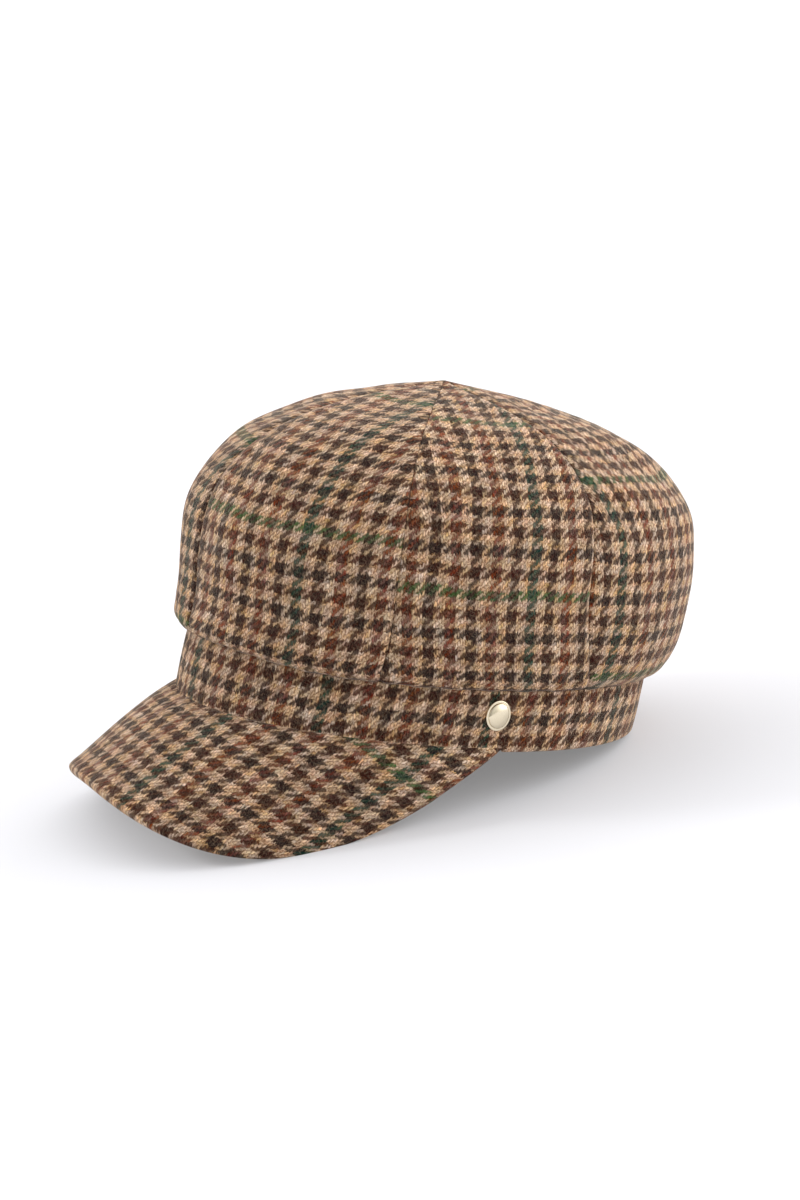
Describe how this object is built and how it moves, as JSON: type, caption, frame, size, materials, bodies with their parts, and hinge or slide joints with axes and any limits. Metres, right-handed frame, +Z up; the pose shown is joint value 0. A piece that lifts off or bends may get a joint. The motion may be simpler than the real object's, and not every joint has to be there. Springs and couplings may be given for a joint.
{
  "type": "baker boy cap",
  "caption": "Full soft-crowned tweed baker boy cap with an upright head band, a drooping peak and a small domed stud, open below to take a head.",
  "frame": {"origin": "on the floor that the cap rests on, under the middle of its outline", "axes": "+Z up, -Y to the wearer's front, +X to the wearer's left"},
  "size_m": [0.1888, 0.2854, 0.1632],
  "materials": {
    "tweed": "woolly houndstooth tweed with a green overcheck",
    "stud_metal": "polished, pale gilt"
  },
  "bodies": {
    "root": {"crown_panel_front_left": "tweed", "crown_panel_left": "tweed", "crown_panel_back_left": "tweed", "crown_panel_back_right": "tweed", "crown_panel_right": "tweed", "crown_panel_front_right": "tweed", "band": "tweed", "peak": "tweed", "stud": "stud_metal"}
  },
  "joints": []
}
